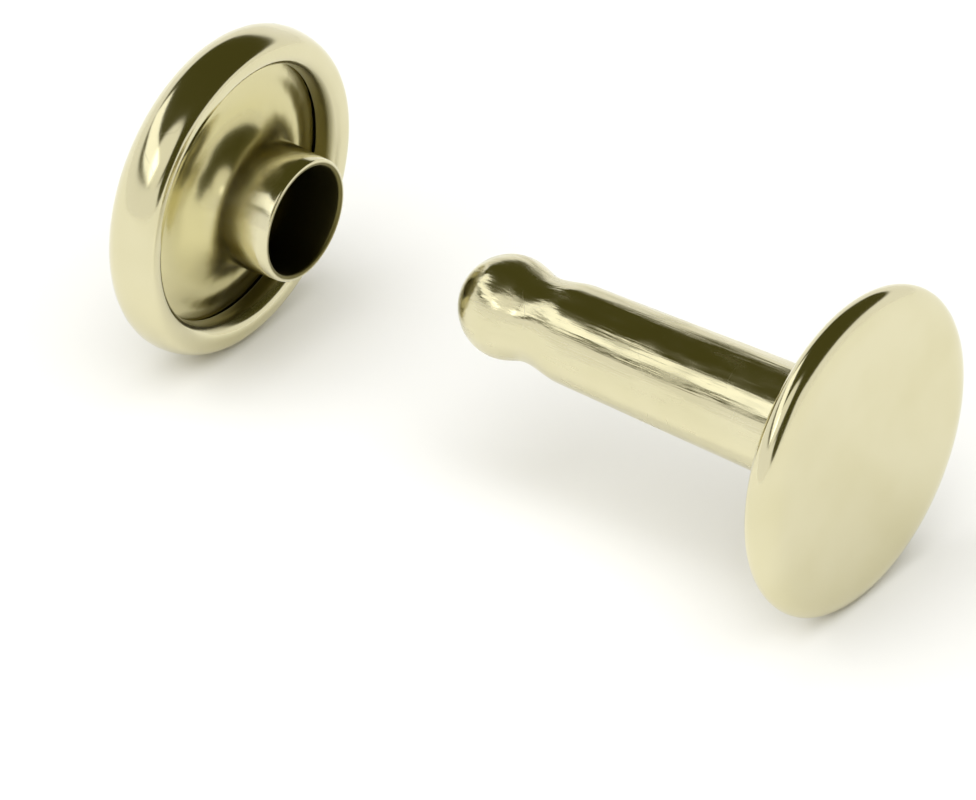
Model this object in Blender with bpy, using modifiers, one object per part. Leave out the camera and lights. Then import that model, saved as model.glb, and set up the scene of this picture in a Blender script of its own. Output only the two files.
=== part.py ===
"""A double-cap rivet in two loose halves: a capped post and the capped socket that is pushed onto it.

The rivet's axis is world X. The post's cap faces +X with its outer face at the origin, and the socket half
waits past the post's tip, towards -X, with its mouth facing the post. Both caps stand on one level.
A section is a list of (radius, height) points, with height along the axis from a cap's outer face.
"""

from math import cos, pi, radians, sin, sqrt

import bmesh
import bpy

MM = 0.001

# Driving dimensions of both halves
CAP_DIAMETER = 9.5 * MM
CAP_SHEET = 0.28 * MM  # thickness of the sheet that both caps are pressed from
SEAT_GAP = 0.02 * MM  # between a flange and the cap sheet above and below it
RIM_GAP = 0.05 * MM  # between a flange's rim and the inside of its cap's side

# The post half
POST_LENGTH = 12.5 * MM  # from the hem of its cap to its tip
POST_ROOT_DIAMETER = 3.24 * MM
POST_END_DIAMETER = 2.82 * MM
POST_WALL = 0.3 * MM
POST_ROOT_FILLET = 0.3 * MM
POST_FLANGE_SHEET = 0.3 * MM
WAIST_DIAMETER = 2.46 * MM
BULB_DIAMETER = 2.9 * MM
WAIST_SLOPE = 1.3 * MM  # length over which the shank narrows to the waist
BULB_SLOPE = 1.05 * MM  # from the waist to the widest part of the bulb
POST_EDGE_ROUND = 0.8 * MM  # width of the rounding between the cap's face and its side
POST_HEM_BEND = 0.17 * MM  # inner width of the bend between the side and the hem
POST_HEM_WIDTH = 0.95 * MM

# The socket half
SOCKET_CAP_HEIGHT = 1.9 * MM  # from its outer face to the crest of its hem
SOCKET_EDGE_ROUND = 1.45 * MM
CURL_BEND = 0.16 * MM  # inner width of each bend of the curled hem
CREST_FLAT = 0.1 * MM  # flat on top of the curl, which presses on the leather
CREST_STAND = 0.73 * MM  # how far the crest stands above the flange
LIP_STRAIGHT = 0.2 * MM  # straight end of the curl, standing on the flange
BARREL_LENGTH = 2.65 * MM  # from the flange to the mouth
BARREL_WALL = 0.2 * MM
BARREL_TAPER = 0.06 * MM  # how much wider in radius the barrel is at its root
BARREL_FILLET = 1.05 * MM
SOCKET_FLANGE_SHEET = 0.25 * MM
FLANGE_DISH = 0.1 * MM  # how far the flange rises towards the barrel
DISH_MARGIN = 0.25 * MM  # flat width of the flange inside the curl, before it rises

# How the halves meet
ENTRY_CLEARANCE = 0.13 * MM  # round the widest part of the post that enters the bore, in radius
REST_GAP = 5.45 * MM  # from the post's tip to the socket's mouth while the halves are apart
HOME_GAP = 0.15 * MM  # from the tip to the inside of the socket's cap when pushed home

# Steps of the turned shapes
TURN_STEPS = 40
BEND_STEPS = 5
TIP_STEPS = 8
WALL_END_STEPS = 3

WELD_DISTANCE = 1e-6

# Worked out from the sizes above
CAP_RADIUS = CAP_DIAMETER / 2
POST_FLANGE_TOP = CAP_SHEET + SEAT_GAP
POST_FLANGE_BOTTOM = POST_FLANGE_TOP + POST_FLANGE_SHEET
POST_CAP_HEIGHT = POST_FLANGE_BOTTOM + SEAT_GAP + CAP_SHEET
POST_SIDE = POST_FLANGE_TOP + POST_FLANGE_SHEET / 2  # level at which the cap is widest
POST_REACH = POST_CAP_HEIGHT + POST_LENGTH
BULB_CENTRE = POST_REACH - BULB_DIAMETER / 2
WAIST = BULB_CENTRE - BULB_SLOPE
SHANK_END = WAIST - WAIST_SLOPE

SOCKET_FLANGE_TOP = SOCKET_CAP_HEIGHT - CREST_STAND
SOCKET_FLANGE_BOTTOM = SOCKET_FLANGE_TOP - SOCKET_FLANGE_SHEET
SOCKET_SIDE = SOCKET_FLANGE_TOP - SOCKET_FLANGE_SHEET / 2
MOUTH = SOCKET_FLANGE_TOP + BARREL_LENGTH
BORE_RADIUS = max(BULB_DIAMETER, POST_END_DIAMETER) / 2 + ENTRY_CLEARANCE
CURL_WIDTH = 2 * (CURL_BEND + CAP_SHEET) + CREST_FLAT
LIP_RADIUS = CAP_RADIUS - CURL_WIDTH
LIP_END = SOCKET_FLANGE_TOP + SEAT_GAP
LIP_SHOULDER = LIP_END + LIP_STRAIGHT

SOCKET_REST = -(POST_REACH + REST_GAP + MOUTH)
TRAVEL = REST_GAP + MOUTH - CAP_SHEET - HOME_GAP


def bend(centre, size, start, end, steps=BEND_STEPS):
    """Points of an elliptical arc. Angles are in degrees, from outwards (0) to along the axis (90)."""
    angles = [radians(start + (end - start) * i / steps) for i in range(steps + 1)]
    return [(centre[0] + size[0] * cos(a), centre[1] + size[1] * sin(a)) for a in angles]


def swell(start, end, steps=BEND_STEPS):
    """Points of a smooth swell or narrowing, level with the axis at both ends, without its first point."""
    points = []
    for i in range(1, steps + 1):
        share = (1 - cos(pi * i / steps)) / 2
        height = start[1] + (end[1] - start[1]) * i / steps
        points.append((start[0] + (end[0] - start[0]) * share, height))
    return points


def room_beside(centre, size, off_side):
    """Radius that a bend of this inner size leaves free at a distance above or below its widest level."""
    return centre + size[0] * sqrt(1 - (off_side / size[1]) ** 2)


def finish(name, color, roughness):
    """A metallic material with its own Principled BSDF."""
    material = bpy.data.materials.new(name)
    material.use_nodes = True
    shader = material.node_tree.nodes["Principled BSDF"]
    shader.inputs["Base Color"].default_value = (*color, 1.0)
    shader.inputs["Metallic"].default_value = 1.0
    shader.inputs["Roughness"].default_value = roughness
    return material


def turned(name, section, half, material, closed=False):
    """Turns a section about the axis of its half and returns the object.

    The section is listed as it runs down the outside of the piece, for an axis that points up. It starts
    half a step round, so that each rim stands on the middle of one of its flats.
    """
    shape = bmesh.new()
    start = pi / TURN_STEPS
    points = [shape.verts.new((r * cos(start), r * sin(start), height)) for r, height in section]
    for first, second in zip(points, points[1:]):
        shape.edges.new((first, second))
    if closed:
        shape.edges.new((points[-1], points[0]))
    mesh = bpy.data.meshes.new(name)
    shape.to_mesh(mesh)
    shape.free()
    piece = bpy.data.objects.new(name, mesh)
    piece.parent = half
    piece.data.materials.append(material)
    screw = piece.modifiers.new("turn", "SCREW")
    screw.steps = TURN_STEPS
    screw.render_steps = TURN_STEPS
    screw.use_merge_vertices = True
    screw.merge_threshold = WELD_DISTANCE
    screw.use_smooth_shade = True
    return piece


def downwards(section):
    """Turns heights into depths below the outer face, for the half whose cap is uppermost."""
    return [(radius, -height) for radius, height in section]


def post_cap_section():
    """A flat cap with a rounded edge, its hem pressed flat behind the post's flange."""
    face = CAP_RADIUS - POST_EDGE_ROUND
    hem_bend = POST_HEM_BEND + CAP_SHEET
    hem = CAP_RADIUS - hem_bend
    hem_level = POST_CAP_HEIGHT - POST_SIDE
    lip_end = CAP_RADIUS - POST_HEM_WIDTH + CAP_SHEET / 2
    lip_middle = POST_CAP_HEIGHT - CAP_SHEET / 2
    half_sheet = CAP_SHEET / 2
    outside = [(0.0, 0.0)]
    outside += bend((face, POST_SIDE), (POST_EDGE_ROUND, POST_SIDE), -90, 0)
    outside += bend((hem, POST_SIDE), (hem_bend, hem_level), 0, 90)[1:]
    outside += bend((lip_end, lip_middle), (half_sheet, half_sheet), 90, 270, WALL_END_STEPS)
    inside = bend((hem, POST_SIDE), (POST_HEM_BEND, hem_level - CAP_SHEET), 90, 0)
    inner_round = POST_EDGE_ROUND - CAP_SHEET
    inside += bend((face, POST_SIDE), (inner_round, POST_SIDE - CAP_SHEET), 0, -90)[1:]
    inside.append((0.0, CAP_SHEET))
    return downwards(outside + inside)


def post_stem_section():
    """A drawn hollow post: a flange, a slightly tapered shank, a waist and a closed round tip."""
    side_room = POST_FLANGE_SHEET / 2
    edge_room = room_beside(
        CAP_RADIUS - POST_EDGE_ROUND, (POST_EDGE_ROUND - CAP_SHEET, POST_SIDE - CAP_SHEET), side_room
    )
    flange = edge_room - RIM_GAP
    root = POST_ROOT_DIAMETER / 2
    fillet_centre = (root + POST_ROOT_FILLET, POST_FLANGE_BOTTOM + POST_ROOT_FILLET)
    inner_fillet = POST_ROOT_FILLET + POST_WALL
    fillet_in = (inner_fillet, POST_ROOT_FILLET + POST_FLANGE_SHEET)
    fillet_out = (POST_ROOT_FILLET, POST_ROOT_FILLET)
    end = POST_END_DIAMETER / 2
    waist = WAIST_DIAMETER / 2
    bulb = BULB_DIAMETER / 2

    def below_flange(inset):
        outline = [(end - inset, SHANK_END)]
        outline += swell((end - inset, SHANK_END), (waist - inset, WAIST))
        outline += swell((waist - inset, WAIST), (bulb - inset, BULB_CENTRE))
        outline += bend((0.0, BULB_CENTRE), (bulb - inset, bulb - inset), 0, 90, TIP_STEPS)[1:-1]
        return outline + [(0.0, BULB_CENTRE + bulb - inset)]

    outside = [(flange, POST_FLANGE_TOP), (flange, POST_FLANGE_BOTTOM)]
    outside += bend(fillet_centre, fillet_out, -90, -180)
    outside += below_flange(0.0)
    inside = below_flange(POST_WALL)[::-1]
    inside += bend(fillet_centre, fillet_in, -180, -90)
    return downwards(inside + outside)


def socket_cap_section():
    """A deep cap with a rounded edge, its rim curled over so that it grips the socket's flange."""
    face = CAP_RADIUS - SOCKET_EDGE_ROUND
    outer_curl = CURL_BEND + CAP_SHEET
    crest_outer = CAP_RADIUS - outer_curl
    crest_inner = crest_outer - CREST_FLAT
    side_rise = SOCKET_CAP_HEIGHT - SOCKET_SIDE
    lip_rise = SOCKET_CAP_HEIGHT - LIP_SHOULDER
    inner_round = (SOCKET_EDGE_ROUND - CAP_SHEET, SOCKET_SIDE - CAP_SHEET)
    inside = [(0.0, CAP_SHEET)]
    inside += bend((face, SOCKET_SIDE), inner_round, -90, 0)
    inside += bend((crest_outer, SOCKET_SIDE), (CURL_BEND, side_rise - CAP_SHEET), 0, 90)[1:]
    inside += bend((crest_inner, LIP_SHOULDER), (CURL_BEND, lip_rise - CAP_SHEET), 90, 180)
    inside.append((crest_inner - CURL_BEND, LIP_END))
    outside = [(LIP_RADIUS, LIP_END)]
    outside += bend((crest_inner, LIP_SHOULDER), (outer_curl, lip_rise), 180, 90)
    outside += bend((crest_outer, SOCKET_SIDE), (outer_curl, side_rise), 90, 0)
    outside += bend((face, SOCKET_SIDE), (SOCKET_EDGE_ROUND, SOCKET_SIDE), 0, -90)[1:]
    outside.append((0.0, 0.0))
    return inside + outside


def socket_barrel_section():
    """A flanged tube, open at both ends: a dished flange that sweeps up into a short barrel."""
    side_room = SOCKET_FLANGE_SHEET / 2
    edge_room = room_beside(
        CAP_RADIUS - SOCKET_EDGE_ROUND, (SOCKET_EDGE_ROUND - CAP_SHEET, SOCKET_SIDE - CAP_SHEET), side_room
    )
    curl_centre = CAP_RADIUS - CURL_BEND - CAP_SHEET
    curl_size = (CURL_BEND, SOCKET_CAP_HEIGHT - SOCKET_SIDE - CAP_SHEET)
    curl_room = room_beside(curl_centre, curl_size, side_room)
    flange = min(edge_room, curl_room) - RIM_GAP
    outer = BORE_RADIUS + BARREL_WALL
    root = outer + BARREL_TAPER
    dish_foot = LIP_RADIUS - DISH_MARGIN
    dish_top = SOCKET_FLANGE_TOP + FLANGE_DISH
    fillet_centre = (root + BARREL_FILLET, dish_top + BARREL_FILLET)
    fillet_in = (BARREL_FILLET + BARREL_WALL, BARREL_FILLET + SOCKET_FLANGE_SHEET)
    half_wall = BARREL_WALL / 2
    mouth_middle = (outer - half_wall, MOUTH - half_wall)
    outside = bend(mouth_middle, (half_wall, half_wall), 180, 0, 2 * WALL_END_STEPS)
    outside += bend(fillet_centre, (BARREL_FILLET, BARREL_FILLET), 180, 270)
    outside += [(dish_foot, SOCKET_FLANGE_TOP), (flange, SOCKET_FLANGE_TOP)]
    inside = [(flange, SOCKET_FLANGE_BOTTOM), (dish_foot, SOCKET_FLANGE_BOTTOM)]
    inside += bend(fillet_centre, fillet_in, 270, 180)
    return outside + inside


def half_frame(name, collection, x):
    """An empty on the rivet's axis that carries one half. Its own Z axis points along world +X."""
    frame = bpy.data.objects.new(name, None)
    frame.empty_display_size = CAP_RADIUS
    frame.location = (x, 0.0, 0.0)
    frame.rotation_euler = (0.0, pi / 2, 0.0)
    collection.objects.link(frame)
    return frame


def slide_limit(half, lowest, highest):
    """Keeps a half on the rivet's axis, between the place where it rests and the place where it is home."""
    limit = half.constraints.new("LIMIT_LOCATION")
    limit.use_min_x = limit.use_max_x = True
    limit.min_x, limit.max_x = lowest, highest
    limit.use_min_y = limit.use_max_y = True
    limit.use_min_z = limit.use_max_z = True


def clear_scene():
    for item in list(bpy.data.objects):
        bpy.data.objects.remove(item, do_unlink=True)


def build():
    clear_scene()
    rivet = bpy.data.collections.new("double_cap_rivet")
    bpy.context.scene.collection.children.link(rivet)
    post_half = half_frame("post_half", rivet, 0.0)
    socket_half = half_frame("socket_half", rivet, SOCKET_REST)
    slide_limit(socket_half, SOCKET_REST, SOCKET_REST + TRAVEL)

    cap_plating = finish("pale_brass_cap", (0.80, 0.75, 0.48), 0.22)
    stem_plating = finish("pale_brass_post", (0.78, 0.73, 0.45), 0.24)
    socket_plating = finish("pale_brass_socket_cap", (0.80, 0.75, 0.47), 0.22)
    barrel_plating = finish("pale_brass_barrel", (0.77, 0.72, 0.44), 0.25)

    pieces = [
        turned("post_cap_shell", post_cap_section(), post_half, cap_plating),
        turned("post_stem", post_stem_section(), post_half, stem_plating),
        turned("socket_cap_shell", socket_cap_section(), socket_half, socket_plating),
        turned("socket_barrel", socket_barrel_section(), socket_half, barrel_plating, closed=True),
    ]
    for piece in pieces:
        rivet.objects.link(piece)


build()
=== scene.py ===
# %% [markdown]
# # A double-cap rivet, in two loose halves
# A rivet like this joins leather without a sewing machine. One half is a flat cap with a hollow post, and the
# other is a deeper cap with a short barrel. The post goes through a hole in the leather and into the barrel,
# and a blow spreads its tip inside. Each half is only two pieces of thin plated brass, a flanged tube and the
# cap that is crimped round its flange, so this lesson is about sheet metal: every piece is drawn as the line
# that the sheet follows, turned once round the axis, and then given its thickness.

# %% [markdown]
# ## The frame
# The frame brings the rivet's true sizes and the two bodies that move. The axis is X. The post's cap faces +X
# and its outer face is at the origin, and the socket half waits at the other end. Places could be typed in as
# numbers, but taking them from the frame's boxes keeps the looks and the working model the same size.

# %% Load the frame
from math import cos, pi, radians, sin, sqrt

import bmesh
import bpy
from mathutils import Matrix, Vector


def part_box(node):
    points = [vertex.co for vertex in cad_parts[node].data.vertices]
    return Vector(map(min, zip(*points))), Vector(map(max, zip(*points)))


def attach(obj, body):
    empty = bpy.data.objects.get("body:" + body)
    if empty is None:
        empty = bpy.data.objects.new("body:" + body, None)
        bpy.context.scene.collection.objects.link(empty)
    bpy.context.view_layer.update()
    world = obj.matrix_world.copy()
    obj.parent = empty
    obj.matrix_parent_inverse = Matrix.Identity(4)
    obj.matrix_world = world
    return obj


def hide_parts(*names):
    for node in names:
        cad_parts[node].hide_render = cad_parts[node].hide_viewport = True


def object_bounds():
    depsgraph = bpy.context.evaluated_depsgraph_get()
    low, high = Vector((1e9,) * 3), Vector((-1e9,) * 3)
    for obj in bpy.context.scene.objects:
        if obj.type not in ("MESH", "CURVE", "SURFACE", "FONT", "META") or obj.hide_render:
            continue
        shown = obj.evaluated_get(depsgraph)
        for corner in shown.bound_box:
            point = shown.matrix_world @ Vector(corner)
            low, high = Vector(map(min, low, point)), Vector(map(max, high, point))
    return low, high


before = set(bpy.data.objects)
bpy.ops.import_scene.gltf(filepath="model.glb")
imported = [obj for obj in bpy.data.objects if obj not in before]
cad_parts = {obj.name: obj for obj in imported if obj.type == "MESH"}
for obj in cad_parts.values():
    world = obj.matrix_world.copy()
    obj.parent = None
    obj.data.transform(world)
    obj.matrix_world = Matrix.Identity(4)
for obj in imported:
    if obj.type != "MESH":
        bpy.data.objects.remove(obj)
cad_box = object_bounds()
MM = 0.001
print("the rivet measures", [round(side / MM, 2) for side in cad_box[1] - cad_box[0]], "mm")

# %% Places taken from the frame
post_cap_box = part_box("post_cap_shell")
post_stem_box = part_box("post_stem")
socket_cap_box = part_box("socket_cap_shell")
socket_barrel_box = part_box("socket_barrel")

cap_radius = post_cap_box[1].z
post_face = post_cap_box[1].x
post_hem = post_cap_box[0].x
tip = post_stem_box[0].x
socket_face = socket_cap_box[0].x
socket_crest = socket_cap_box[1].x
mouth = socket_barrel_box[1].x
print("cap radius", round(cap_radius / MM, 3), "mm, tip at", round(tip / MM, 3), "mm")

# %% [markdown]
# ## Camera
# A short lens close to a small thing swells whatever is nearest. A long lens from far away keeps both caps the
# same size, so that is used here. It looks down from the side of the post's cap, where the cap's flat face and
# the open mouth of the socket both show.

# %% Camera
VIEW_AZIMUTH = radians(36.8)
VIEW_ELEVATION = radians(34.3)
VIEW_DISTANCE = 540.6 * MM
LENS = 737.7
AIM_RIGHT = -1.12 * MM
AIM_UP = -2.3 * MM

rivet_centre = (cad_box[0] + cad_box[1]) / 2
view_right = Vector((cos(VIEW_AZIMUTH), sin(VIEW_AZIMUTH), 0.0))
view_back = Vector((sin(VIEW_AZIMUTH), -cos(VIEW_AZIMUTH), 0.0)) * cos(VIEW_ELEVATION)
view_back.z = sin(VIEW_ELEVATION)
view_up = view_back.cross(view_right)

bpy.ops.object.camera_add()
camera = bpy.context.object
camera.name = "long_lens"
camera.data.lens = LENS
camera.location = rivet_centre + view_right * AIM_RIGHT + view_up * AIM_UP + view_back * VIEW_DISTANCE
camera.rotation_euler = view_back.to_track_quat("Z", "Y").to_euler()
bpy.context.scene.camera = camera
print("camera at", [round(place / MM) for place in camera.location], "mm")

# %% [markdown]
# ## Floor
# Polished metal has almost no colour of its own: it shows its surroundings, and the floor is the largest of
# them. White paper is matt, so its shader gets a high roughness and hardly any gloss. The sheet is much larger
# than the view, because the metal sees far more of it than the camera does.

# %% Floor
FLOOR_SIZE = 2.4
FLOOR_CLEARANCE = 0.004 * MM
PAPER = (0.93, 0.93, 0.93, 1)
PAPER_ROUGHNESS = 0.9
PAPER_GLOSS = 0.1

bpy.ops.mesh.primitive_plane_add(size=FLOOR_SIZE, location=(0, 0, cad_box[0].z - FLOOR_CLEARANCE))
floor = bpy.context.object
floor.name = "white_paper"
paper = bpy.data.materials.new("white paper")
paper.use_nodes = True
paper_shader = paper.node_tree.nodes["Principled BSDF"]
paper_shader.inputs["Base Color"].default_value = PAPER
paper_shader.inputs["Roughness"].default_value = PAPER_ROUGHNESS
paper_shader.inputs["Specular IOR Level"].default_value = PAPER_GLOSS
floor.data.materials.append(paper)
print("floor", FLOOR_SIZE, "m wide, its top at", round(floor.location.z / MM, 3), "mm")

# %% [markdown]
# ## Tent
# Small metal goods are shown inside a pale tent that is open to a dim room above. The pale walls give the broad
# bright areas, and the dim opening gives the dark bands that make metal look like metal. Walls could be
# modelled, but the world's colour does the same for nothing: a ramp on the height of each direction, pale low
# down and dim and warm overhead.

# %% Tent
PAPER_WALL = (1.0, 0.99, 0.97, 1)
DIM_ROOM = (0.075, 0.070, 0.018, 1)
WALL_TOP = radians(20)
ROOM_FROM = radians(24)

world = bpy.data.worlds.new("tent")
bpy.context.scene.world = world
world.use_nodes = True
sky_nodes = world.node_tree.nodes
sky_links = world.node_tree.links
sky_direction = sky_nodes.new("ShaderNodeTexCoord")
sky_height = sky_nodes.new("ShaderNodeSeparateXYZ")
sky_ramp = sky_nodes.new("ShaderNodeValToRGB")
sky_links.new(sky_direction.outputs["Generated"], sky_height.inputs[0])
sky_links.new(sky_height.outputs["Z"], sky_ramp.inputs["Fac"])
wall, room = sky_ramp.color_ramp.elements
wall.position, wall.color = sin(WALL_TOP), PAPER_WALL
room.position, room.color = sin(ROOM_FROM), DIM_ROOM
print("walls up to", round(wall.position, 3), "and dim from", round(room.position, 3))


# %% Round patches on the tent
def direction(azimuth, elevation):
    """A unit vector from the rivet towards a place round it, from two angles in degrees."""
    a, e = radians(azimuth), radians(elevation)
    return Vector((cos(a) * cos(e), sin(a) * cos(e), sin(e)))


def round_patch(below, toward, inner, outer, color):
    """Lays a soft-edged round patch over the tent's colour; inner and outer are its radii in degrees."""
    nearness = sky_nodes.new("ShaderNodeVectorMath")
    nearness.operation = "DOT_PRODUCT"
    nearness.inputs[1].default_value = toward
    edge = sky_nodes.new("ShaderNodeMapRange")
    edge.interpolation_type = "SMOOTHSTEP"
    edge.inputs["From Min"].default_value = cos(radians(outer))
    edge.inputs["From Max"].default_value = cos(radians(inner))
    blend = sky_nodes.new("ShaderNodeMix")
    blend.data_type = "RGBA"
    tent_color, patch_color = (socket for socket in blend.inputs if socket.type == "RGBA")
    patch_color.default_value = color
    sky_links.new(sky_direction.outputs["Generated"], nearness.inputs[0])
    sky_links.new(nearness.outputs["Value"], edge.inputs["Value"])
    sky_links.new(edge.outputs["Result"], blend.inputs["Factor"])
    sky_links.new(below, tent_color)
    return next(socket for socket in blend.outputs if socket.type == "RGBA")


# %% Window at the front, and a dark figure beside the tent
WINDOW_LIGHT = (1.0, 0.985, 0.93, 1)
WINDOW_PLACE = direction(-74, 43)
WINDOW_RADII = (20, 26)
FIGURE_PLACE = direction(-27, 18)
FIGURE_RADII = (15, 21)

sky_color = round_patch(sky_ramp.outputs["Color"], WINDOW_PLACE, *WINDOW_RADII, WINDOW_LIGHT)
sky_color = round_patch(sky_color, FIGURE_PLACE, *FIGURE_RADII, DIM_ROOM)
sky_links.new(sky_color, sky_nodes["Background"].inputs["Color"])
print("the tent is made of", len(sky_nodes), "nodes")

# %% [markdown]
# ## Lamps
# One wide soft lamp at the front left gives the bright stripes along the post and the rims. A lamp's power is
# spread over its face, so it is worked out here from how bright the face should look. The second light is for
# the paper alone: the metal doesn't show it, because a sun that wide would wash out the dark bands.

# %% Lamps
LAMP_DISTANCE = 0.6
SOFTBOX_PLACE = direction(-136, 39.5)
SOFTBOX_WIDTH = 1.0
SOFTBOX_HEIGHT = 0.21
SOFTBOX_RADIANCE = 1.35
PAPER_LIGHT_PLACE = direction(-60, 76)
PAPER_LIGHT = 2.6
PAPER_LIGHT_SPREAD = radians(80)


def aim_lamp(name, kind, toward):
    """Adds a lamp that stands in a direction from the rivet and shines on it."""
    bpy.ops.object.light_add(type=kind)
    lamp = bpy.context.object
    lamp.name = name
    lamp.location = rivet_centre + toward * LAMP_DISTANCE
    lamp.rotation_euler = toward.to_track_quat("Z", "Y").to_euler()
    return lamp


softbox = aim_lamp("left_softbox", "AREA", SOFTBOX_PLACE)
softbox.data.shape = "RECTANGLE"
softbox.data.size = SOFTBOX_WIDTH
softbox.data.size_y = SOFTBOX_HEIGHT
softbox.data.energy = SOFTBOX_RADIANCE * pi * SOFTBOX_WIDTH * SOFTBOX_HEIGHT
paper_light = aim_lamp("paper_light", "SUN", PAPER_LIGHT_PLACE)
paper_light.data.energy = PAPER_LIGHT
paper_light.data.angle = PAPER_LIGHT_SPREAD
paper_light.visible_glossy = False
print("softbox", round(softbox.data.energy, 3), "W")

# The colours are shown as they are, so that white paper comes out white.
bpy.context.scene.view_settings.view_transform = "Standard"

# %% [markdown]
# ## Turning a sheet
# All four pieces were pressed or drawn from flat sheet, so their walls have nearly one thickness all over. They
# could be turned as solid profiles, but then both sides of every wall have to be drawn and kept parallel. It is
# simpler, and nearer to how they are made, to draw only the middle line of the sheet as a half section, spin it
# round the axis, and let Solidify give it the thickness on both sides. Bends are arcs of a few points each,
# and straight stretches are divided too, so that the faces stay even in size.

# %% Helpers for the section
BEND_POINTS = 9
STRAIGHT_STEP = 0.35 * MM


def bend(centre, size, start, end, points=BEND_POINTS):
    """Points of an arc, as (along X, radius), between two angles in degrees: 0 is outwards and 90 along +X."""
    angles = [radians(start + (end - start) * i / points) for i in range(points + 1)]
    return [(centre[0] + size[0] * sin(a), centre[1] + size[1] * cos(a)) for a in angles]


def divided(line):
    """The same line with its long straight stretches cut into short ones."""
    out = [line[0]]
    for (x0, r0), (x1, r1) in zip(line, line[1:]):
        parts = max(1, round(sqrt((x1 - x0) ** 2 + (r1 - r0) ** 2) / STRAIGHT_STEP))
        out += [(x0 + (x1 - x0) * i / parts, r0 + (r1 - r0) * i / parts) for i in range(1, parts + 1)]
    return out


print("a bend is drawn with", BEND_POINTS, "steps of", 90 / BEND_POINTS, "degrees in a quarter turn")

# %% Drawing and spinning
TURN_STEPS = 144
WELD = 1e-7


def turned_sheet(name, line, thickness):
    """Draws the sheet's middle line by extruding one vertex, spins it about X and gives it a thickness."""
    bpy.ops.object.select_all(action="DESELECT")
    bpy.ops.mesh.primitive_plane_add(size=thickness)
    piece = bpy.context.object
    piece.name = name
    piece.data.name = name
    bpy.ops.object.mode_set(mode="EDIT")
    bpy.ops.mesh.select_all(action="SELECT")
    bpy.ops.mesh.merge(type="CENTER")
    bpy.ops.transform.translate(value=(line[0][0], 0, line[0][1]))
    for (x0, r0), (x1, r1) in zip(line, line[1:]):
        bpy.ops.mesh.extrude_vertices_move(TRANSFORM_OT_translate={"value": (x1 - x0, 0, r1 - r0)})
    bpy.ops.mesh.select_all(action="SELECT")
    bpy.ops.mesh.spin(steps=TURN_STEPS, angle=2 * pi, center=(0, 0, 0), axis=(1, 0, 0))
    bpy.ops.mesh.select_all(action="SELECT")
    bpy.ops.mesh.remove_doubles(threshold=WELD)
    bpy.ops.mesh.normals_make_consistent(inside=False)
    bpy.ops.object.mode_set(mode="OBJECT")
    sheet = piece.modifiers.new("sheet", "SOLIDIFY")
    sheet.thickness = thickness
    sheet.offset = 0
    sheet.use_even_offset = True
    bpy.ops.object.modifier_apply(modifier=sheet.name)
    return piece


print("each piece is turned in", TURN_STEPS, "steps of", 360 / TURN_STEPS, "degrees")

# %% Cut edges
CUT_EDGE_ANGLE = radians(50)
CUT_EDGE_SEGMENTS = 3


def soften(piece, width):
    """Rounds the cut edges of the sheet, as tumbling does, and shades the piece smooth."""
    bpy.ops.object.select_all(action="DESELECT")
    piece.select_set(True)
    bpy.context.view_layer.objects.active = piece
    rounding = piece.modifiers.new("cut edges", "BEVEL")
    rounding.width = width
    rounding.segments = CUT_EDGE_SEGMENTS
    rounding.limit_method = "ANGLE"
    rounding.angle_limit = CUT_EDGE_ANGLE
    bpy.ops.object.modifier_apply(modifier=rounding.name)
    bpy.ops.object.shade_smooth()


def measure(piece):
    """Prints a piece's faces, its open edges, which should be none, and its metal, which should be positive."""
    skin = bmesh.new()
    skin.from_mesh(piece.data)
    open_edges = sum(not edge.is_manifold for edge in skin.edges)
    metal = skin.calc_volume(signed=True) / MM**3
    print(f"{piece.name}: {len(skin.faces)} faces, {open_edges} open edges, {metal:.2f} cubic mm of metal")
    skin.free()


# %% [markdown]
# ## The post's cap
# A thin flat cap that is seen from outside when the rivet is set. Its edge is rounded over, and the rim is
# pressed flat behind it, where it grips the post's flange. A squashed ball would look much the same from the
# front, but the flat hem behind is what lies on the leather, so the whole bend is drawn.

# %% Post cap
CAP_SHEET = 0.28 * MM
POST_EDGE_ROUND = 0.8 * MM
POST_HEM_BEND = 0.17 * MM
POST_HEM_WIDTH = 0.95 * MM
POST_CAP_CUT_EDGE = 0.1 * MM

half_sheet = CAP_SHEET / 2
cap_wall = cap_radius - half_sheet
post_side = (post_face + post_hem) / 2
face_middle = post_face - half_sheet
hem_middle = post_hem + half_sheet
hem_start = cap_radius - CAP_SHEET - POST_HEM_BEND
post_cap_line = [(face_middle, 0.0)]
post_cap_line += bend(
    (post_side, cap_radius - POST_EDGE_ROUND), (face_middle - post_side, POST_EDGE_ROUND - half_sheet), 90, 0
)
post_cap_line += bend((post_side, hem_start), (post_side - hem_middle, cap_wall - hem_start), 0, -90)[1:]
post_cap_line.append((hem_middle, cap_radius - POST_HEM_WIDTH))
post_cap = turned_sheet("post_cap", divided(post_cap_line), CAP_SHEET)
soften(post_cap, POST_CAP_CUT_EDGE)
measure(post_cap)

# %% [markdown]
# ## The post
# The post is drawn from a disc of sheet into a deep closed cup, with a flange left at its open end. It narrows
# a little towards the tip, then has a waist, where the tip will fold when it is struck, and a round bulb. The
# waist could be pinched in with a modifier, but in the section it is one smooth swell down and one up.


# %% Smooth swell
SWELL_POINTS = 10


def swell(start, end, points=SWELL_POINTS):
    """A smooth step of the second number over an even run of the first, without its first point."""
    out = []
    for i in range(1, points + 1):
        share = (1 - cos(pi * i / points)) / 2
        out.append((start[0] + (end[0] - start[0]) * i / points, start[1] + (end[1] - start[1]) * share))
    return out


print("a swell half way:", swell((0, 0), (1, 1))[SWELL_POINTS // 2 - 1])

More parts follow.
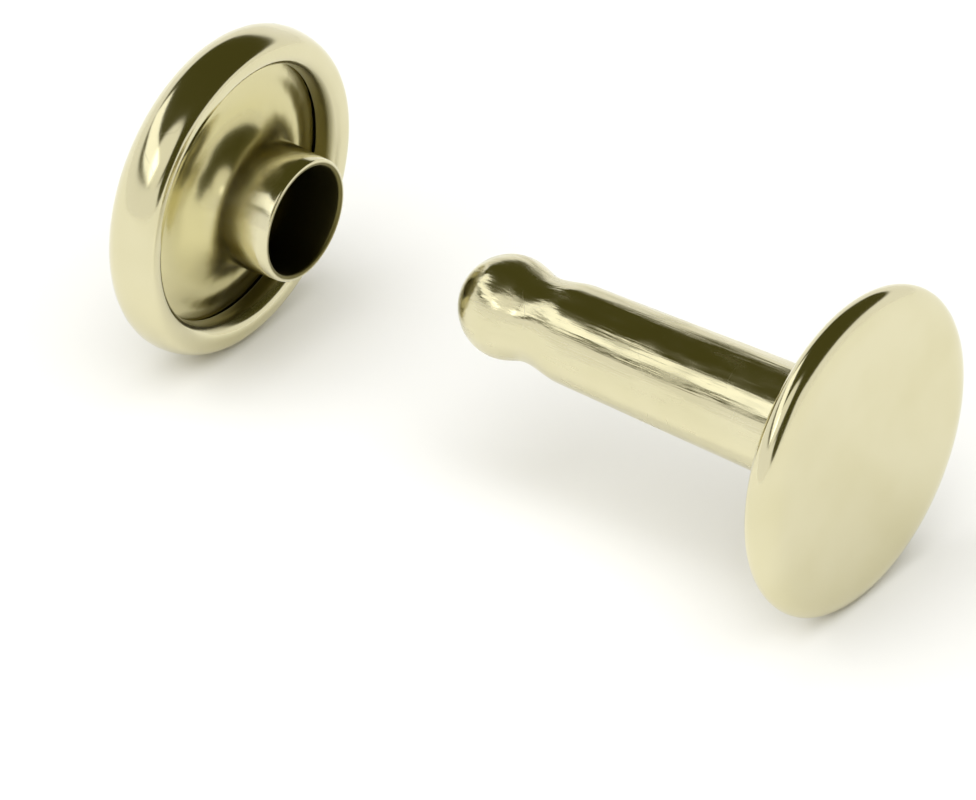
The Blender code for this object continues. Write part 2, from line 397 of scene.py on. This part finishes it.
# %% Post
POST_SHEET = 0.3 * MM
POST_ROOT_RADIUS = 1.62 * MM
POST_END_RADIUS = 1.41 * MM
WAIST_RADIUS = 1.23 * MM
BULB_RADIUS = 1.45 * MM
ROOT_FILLET = 0.3 * MM
WAIST_SLOPE = 1.3 * MM
BULB_SLOPE = 1.05 * MM
TIP_POINTS = 14
POST_CUT_EDGE = 0.05 * MM

half_post = POST_SHEET / 2
flange_middle = post_stem_box[1].x - half_post
root_wall = POST_ROOT_RADIUS - half_post
fillet_middle = ROOT_FILLET + half_post
bulb_middle = BULB_RADIUS - half_post
bulb_centre = tip + BULB_RADIUS
waist = bulb_centre + BULB_SLOPE
post_line = [(flange_middle, post_stem_box[1].z)]
post_line += bend(
    (flange_middle - fillet_middle, root_wall + fillet_middle), (fillet_middle, fillet_middle), 90, 180
)
post_line.append((waist + WAIST_SLOPE, POST_END_RADIUS - half_post))
post_line += swell(post_line[-1], (waist, WAIST_RADIUS - half_post))
post_line += swell(post_line[-1], (bulb_centre, bulb_middle))
post_line += bend((bulb_centre, 0), (bulb_middle, bulb_middle), 0, -90, TIP_POINTS)[1:-1]
post_line.append((bulb_centre - bulb_middle, 0.0))
post = turned_sheet("post", divided(post_line), POST_SHEET)
soften(post, POST_CUT_EDGE)
measure(post)

# %% [markdown]
# ## The socket's cap
# A deeper cap, because the post's tip spreads inside it. Its side rises past the flange and curls over and back
# down onto it, so the hem is a round roll with a short straight lip inside. The roll could be a ring laid on
# the edge, but then a seam would show where none is: the sheet is one, so the line is one.

# %% Socket cap
SOCKET_EDGE_ROUND = 1.45 * MM
CURL_BEND = 0.16 * MM
CREST_FLAT = 0.1 * MM
CREST_STAND = 0.73 * MM
LIP_STRAIGHT = 0.2 * MM
LIP_CLEARANCE = 0.02 * MM
SOCKET_FLANGE = 0.25 * MM
SOCKET_CUT_EDGE = 0.08 * MM

flange_top = socket_crest - CREST_STAND
flange_level = flange_top - SOCKET_FLANGE / 2
floor_middle = socket_face + half_sheet
crest_middle = socket_crest - half_sheet
curl = CURL_BEND + half_sheet
crest_outer = cap_wall - curl
crest_inner = crest_outer - CREST_FLAT
lip_end = flange_top + LIP_CLEARANCE
lip_shoulder = lip_end + LIP_STRAIGHT
lip_radius = crest_inner - curl - half_sheet
socket_cap_line = [(floor_middle, 0.0)]
socket_cap_line += bend(
    (flange_level, cap_radius - SOCKET_EDGE_ROUND),
    (flange_level - floor_middle, SOCKET_EDGE_ROUND - half_sheet),
    -90,
    0,
)
socket_cap_line += bend((flange_level, crest_outer), (crest_middle - flange_level, curl), 0, 90)[1:]
socket_cap_line += bend((lip_shoulder, crest_inner), (crest_middle - lip_shoulder, curl), 90, 180)
socket_cap_line.append((lip_end, crest_inner - curl))
socket_cap = turned_sheet("socket_cap", divided(socket_cap_line), CAP_SHEET)
soften(socket_cap, SOCKET_CUT_EDGE)
measure(socket_cap)

# %% [markdown]
# ## The barrel
# A short tube that guides the post, open at both ends, with a wide flare at its root and a slightly dished
# flange that the hem holds down. It is one sheet too. The dish is a smooth fall and not a cone, because a
# polished flange shows the smallest crease as a line.

# %% Barrel
BARREL_WALL = 0.2 * MM
BARREL_TAPER = 0.06 * MM
BARREL_FILLET = 1.05 * MM
BORE_RADIUS = 1.58 * MM
FLANGE_DISH = 0.1 * MM
DISH_MARGIN = 0.25 * MM
FLARE_POINTS = 16

half_wall = BARREL_WALL / 2
flare = BARREL_FILLET + half_wall
flare_level = flange_level + FLANGE_DISH + flare
flare_radius = BORE_RADIUS + half_wall + BARREL_TAPER + flare
dish_foot = lip_radius - DISH_MARGIN
barrel_line = [(mouth - half_wall, BORE_RADIUS + half_wall)]
barrel_line += bend((flare_level, flare_radius), (flare, flare), 180, 270, FLARE_POINTS)
dish = swell((flare_radius, flange_level + FLANGE_DISH), (dish_foot, flange_level))
barrel_line += [(along, radius) for radius, along in dish]
barrel_line.append((flange_level, socket_barrel_box[1].z))
barrel = turned_sheet("barrel", divided(barrel_line), BARREL_WALL)
soften(barrel, SOCKET_CUT_EDGE)
measure(barrel)

# %% [markdown]
# ## Noise and bumps
# A material is a small machine of nodes, and the same few are needed again and again: cloudy noise on the
# piece's own coordinates, a stretch of one range over another, a sum or product, and a bump of a true depth.
# Image textures could do this too, but noise has no seams and no size of its own, and it stays sharp close up.


# %% Node helpers
EVEN = (1, 1, 1)


def add_node(tree, kind, **inputs):
    """A node with some of its inputs set by name, with _ for a space."""
    node = tree.nodes.new("ShaderNode" + kind)
    for key, value in inputs.items():
        node.inputs[key.replace("_", " ")].default_value = value
    return node


def noise_map(tree, size, stretch, turn=(0, 0, 0), detail=2.0):
    """Cloudy noise whose lumps are about one size across, on the piece's own coordinates."""
    place = add_node(tree, "TexCoord")
    mapping = add_node(tree, "Mapping", Rotation=turn, Scale=stretch)
    clouds = add_node(tree, "TexNoise", Scale=1 / size, Detail=detail)
    tree.links.new(place.outputs["Object"], mapping.inputs["Vector"])
    tree.links.new(mapping.outputs["Vector"], clouds.inputs["Vector"])
    return clouds.outputs["Fac"]


def remap(tree, value, low, high, new_low, new_high):
    """Stretches one range of a value over another, and holds it there."""
    node = add_node(tree, "MapRange", From_Min=low, From_Max=high, To_Min=new_low, To_Max=new_high)
    tree.links.new(value, node.inputs["Value"])
    return node.outputs["Result"]


# %% Place on the section
def place_on_section(tree):
    """Where the surface is on the half section: its place along the axis, and its distance from the axis."""
    place = add_node(tree, "TexCoord")
    parts = add_node(tree, "SeparateXYZ")
    flatten = add_node(tree, "Mapping", Scale=(0, 1, 1))
    distance = tree.nodes.new("ShaderNodeVectorMath")
    distance.operation = "LENGTH"
    tree.links.new(place.outputs["Object"], parts.inputs[0])
    tree.links.new(place.outputs["Object"], flatten.inputs["Vector"])
    tree.links.new(flatten.outputs["Vector"], distance.inputs[0])
    return parts.outputs["X"], distance.outputs["Value"]


# %% Sums and bumps
def combine(tree, operation, a, b=0.0):
    """One step of arithmetic on two values, each of them a number or another node's output."""
    node = tree.nodes.new("ShaderNodeMath")
    node.operation = operation
    for socket, value in zip(node.inputs, (a, b)):
        if isinstance(value, float):
            socket.default_value = value
        else:
            tree.links.new(value, socket)
    return node.outputs[0]


def mixed(tree, kind, share, first, second):
    """A blend of two colours or two numbers; either may be a value or another node's output."""
    node = tree.nodes.new("ShaderNodeMix")
    node.data_type = kind
    wanted = "RGBA" if kind == "RGBA" else "VALUE"
    sides = [socket for socket in node.inputs if socket.type == wanted and socket.name in "AB"]
    for socket, value in zip(sides, (first, second)):
        if isinstance(value, (float, tuple)):
            socket.default_value = value
        else:
            tree.links.new(value, socket)
    tree.links.new(share, node.inputs["Factor"])
    return next(socket for socket in node.outputs if socket.type == wanted)


def relief(tree, height, depth, below=None):
    """Bumps of a true depth, on top of the bumps below."""
    node = add_node(tree, "Bump", Strength=1.0, Distance=depth)
    tree.links.new(height, node.inputs["Height"])
    if below is not None:
        tree.links.new(below, node.inputs["Normal"])
    return node.outputs["Normal"]


# %% [markdown]
# ## Hairlines
# Small brass parts are tumbled together by the thousand, so they leave the drum with a few fine scratches. They
# could be modelled, but they are far thinner than a face. Noise has a middle value that it crosses along thin
# wandering lines, and stretching the noise straightens them, which gives scratches that never repeat.


# %% Hairlines
HAIRLINE_WIDTH = 0.004
HAIRLINE_KEPT = (0.55, 0.68)


def hairlines(tree, size, stretch, turn):
    """Thin scratches: the places where stretched noise crosses its middle value, kept only here and there."""
    field = noise_map(tree, size, stretch, turn, detail=1.0)
    distance = combine(tree, "ABSOLUTE", combine(tree, "SUBTRACT", field, 0.5))
    line = remap(tree, distance, 0, HAIRLINE_WIDTH, 1, 0)
    keep = remap(tree, noise_map(tree, size * 0.8, EVEN, turn), *HAIRLINE_KEPT, 0, 1)
    return combine(tree, "MULTIPLY", line, keep)


# %% [markdown]
# ## Plating
# The brass is plated in a pale, slightly greenish gold. Plating is too thin to hide the metal below, so it
# shows what the tools left: slow waves where the sheet was pressed, and lines along the post and the barrel
# where they were drawn through a die. The post's flange was never drawn, so its lines fade out there. One
# function gives all of this, because the pieces differ only in how large, deep and drawn out the marks are.

# %% Plating
PALE_GOLD = (0.72, 0.676, 0.462, 1)
DEEPER_GOLD = (0.68, 0.634, 0.41, 1)
TINT_SIZE = 2.4 * MM
TINT_RANGE = (0.35, 0.75)
GRAIN_SIZE = 0.07 * MM
SHORT_SCRATCHES = (2.1 * MM, (1, 1, 0.3), (1.1, 0.2, 0.7))
LONG_SCRATCHES = (2.6 * MM, (1, 0.25, 1), (0.4, 0.9, 0.3))
SCRATCH_DEPTH = 0.0006 * MM
SCRATCH_DULLNESS = 0.12
HAZE_TURN = (0.5, 0, 0)
HAZE_RANGE = (0.38, 0.68)
CALM_SHARE = 0.06
PLATE_ROUGHNESS = 0.1


def plating(name, waves, grain, haze, calm=None):
    """Bright plating; waves, grain and haze are each a size, a stretch and a strength, and fade over calm."""
    material = bpy.data.materials.new(name)
    material.use_nodes = True
    tree = material.node_tree
    shader = tree.nodes["Principled BSDF"]
    shader.inputs["Metallic"].default_value = 1.0
    long_ones = hairlines(tree, *LONG_SCRATCHES)
    scratches = combine(tree, "ADD", long_ones, hairlines(tree, *SHORT_SCRATCHES))
    worked = 1.0 if calm is None else remap(tree, place_on_section(tree)[0], *calm, 1, CALM_SHARE)
    bumps = None
    for (size, stretch, depth), detail in ((waves, 1.0), (grain, 3.0)):
        height = combine(tree, "SUBTRACT", noise_map(tree, size, stretch, detail=detail), 0.5)
        bumps = relief(tree, combine(tree, "MULTIPLY", height, worked), depth, bumps)
    bumps = relief(tree, combine(tree, "MULTIPLY", scratches, -1.0), SCRATCH_DEPTH, bumps)
    tree.links.new(bumps, shader.inputs["Normal"])
    cloudy = remap(tree, noise_map(tree, haze[0], haze[1], HAZE_TURN), *HAZE_RANGE, 0, haze[2])
    cloudy = combine(tree, "ADD", combine(tree, "MULTIPLY", cloudy, worked), PLATE_ROUGHNESS)
    dulled = combine(tree, "ADD", cloudy, combine(tree, "MULTIPLY", scratches, SCRATCH_DULLNESS))
    tree.links.new(dulled, shader.inputs["Roughness"])
    patches = remap(tree, noise_map(tree, TINT_SIZE, EVEN), *TINT_RANGE, 0, 1)
    tree.links.new(mixed(tree, "RGBA", patches, PALE_GOLD, DEEPER_GOLD), shader.inputs["Base Color"])
    print(name, "is made of", len(tree.nodes), "nodes")
    return material


# %% Four finishes
post_cap_plating = plating(
    "post cap plating",
    waves=(1.6 * MM, EVEN, 0.014 * MM),
    grain=(GRAIN_SIZE, (1, 0.3, 1), 0.0004 * MM),
    haze=(1.9 * MM, EVEN, 0.06),
)
post_plating = plating(
    "post plating",
    waves=(0.5 * MM, (0.13, 1, 1), 0.05 * MM),
    grain=(GRAIN_SIZE, (0.04, 1, 1), 0.006 * MM),
    haze=(0.35 * MM, (0.22, 1, 1), 0.2),
    calm=(flange_middle - 0.8 * MM, flange_middle - 0.35 * MM),
)
socket_cap_plating = plating(
    "socket cap plating",
    waves=(1.4 * MM, EVEN, 0.02 * MM),
    grain=(GRAIN_SIZE, (1, 0.3, 1), 0.0004 * MM),
    haze=(1.9 * MM, EVEN, 0.06),
)
barrel_plating = plating(
    "barrel plating",
    waves=(0.8 * MM, (0.3, 1, 1), 0.02 * MM),
    grain=(GRAIN_SIZE, (0.06, 1, 1), 0.0016 * MM),
    haze=(0.8 * MM, (0.4, 1, 1), 0.1),
)
for piece, finish in (
    (post_cap, post_cap_plating),
    (post, post_plating),
    (socket_cap, socket_cap_plating),
    (barrel, barrel_plating),
):
    piece.data.materials.clear()
    piece.data.materials.append(finish)
    print(piece.name, "gets", finish.name)

# %% [markdown]
# ## Painted shade
# Shade falls inside the hem's lip, deep in the flare and in the bore, and it is painted into the plating's
# colour there, together with a duller finish. The painted shade could be a second material on chosen faces, but
# that ends in a hard edge. Here it is a mask on the piece's own section, which is the place along the axis and
# the distance from it, so the painted shade fades out softly.


# %% Places of painted shade
def paint_shade(material, where, color, roughness):
    """Where the mask is 1 the plating has this colour and roughness instead; the colour is painted shade."""
    tree = material.node_tree
    for name, kind, value in (("Base Color", "RGBA", (*color, 1)), ("Roughness", "FLOAT", roughness)):
        socket = tree.nodes["Principled BSDF"].inputs[name]
        plain = socket.links[0].from_socket
        tree.links.new(mixed(tree, kind, where, plain, value), socket)


# %% Painted shade and a duller finish at the hem's lip and inside the cap
# The colour of painted shade, used inside the hem's lip and the cap and in the bore.
PAINTED_SHADE = (0.16, 0.14, 0.05)
DULL_ROUGHNESS = 0.32

tree = socket_cap_plating.node_tree
along, radius = place_on_section(tree)
past_lip = remap(tree, radius, lip_radius + 0.03 * MM, lip_radius + 0.18 * MM, 1, 0)
inner_side = remap(tree, along, socket_face + 0.2 * MM, socket_face + 0.27 * MM, 0, 1)
# Paints shade inside the hem's lip and the cap, with a duller finish.
paint_shade(socket_cap_plating, combine(tree, "MULTIPLY", past_lip, inner_side), PAINTED_SHADE, DULL_ROUGHNESS)
print("dull inside a radius of", round(lip_radius / MM, 2), "mm")

# %% Painted shade, darker and yellower, in the trough round the barrel
# A darker, yellower colour painted as shade in the trough round the barrel's root.
TROUGH_SHADE = (0.62, 0.565, 0.29)
TROUGH_ROUGHNESS = 0.27
TROUGH_FROM = mouth - 2.1 * MM
TROUGH_GONE = mouth - 1.0 * MM

tree = barrel_plating.node_tree
along, radius = place_on_section(tree)
low_down = remap(tree, along, TROUGH_FROM, TROUGH_GONE, 0.9, 0)
close_in = remap(tree, radius, dish_foot, flare_radius - 0.3 * MM, 0.55, 1)
# Paints shade low down in the flare round the barrel's root, with a duller finish.
paint_shade(barrel_plating, combine(tree, "MULTIPLY", low_down, close_in), TROUGH_SHADE, TROUGH_ROUGHNESS)
print("yellower from", round((TROUGH_FROM - flange_level) / MM, 2), "mm above the flange down")

# %% Painted shade in the bore
BORE_ROUGHNESS = 0.4

drop = combine(tree, "MAXIMUM", combine(tree, "SUBTRACT", flare_level, along))
inset = combine(tree, "MAXIMUM", combine(tree, "SUBTRACT", flare_radius, radius))
squares = combine(tree, "ADD", combine(tree, "POWER", drop, 2.0), combine(tree, "POWER", inset, 2.0))
from_flare = combine(tree, "SQRT", squares)
inside = remap(tree, from_flare, BARREL_FILLET + 0.12 * MM, BARREL_FILLET + 0.17 * MM, 0, 1)
# Paints shade on the side of the sheet that faces the bore, which the print below calls stained.
paint_shade(barrel_plating, inside, PAINTED_SHADE, BORE_ROUGHNESS)
print("stained on the side of the sheet that faces the bore")

# %% [markdown]
# ## Bodies
# The rivet has one motion: the socket half slides onto the post. Each finished piece stands for one solid of
# the frame and rides on that solid's body, so it goes where the solid goes at every place of the slide.

# %% Bodies
for piece, body, node, slot in (
    (post_cap, "post_half", "post_cap_shell", "cap_plating"),
    (post, "post_half", "post_stem", "post_plating"),
    (socket_cap, "socket_half", "socket_cap_shell", "cap_plating"),
    (barrel, "socket_half", "socket_barrel", "barrel_plating"),
):
    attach(piece, body)
    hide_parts(node)
    print(piece.name, "rides on", body)
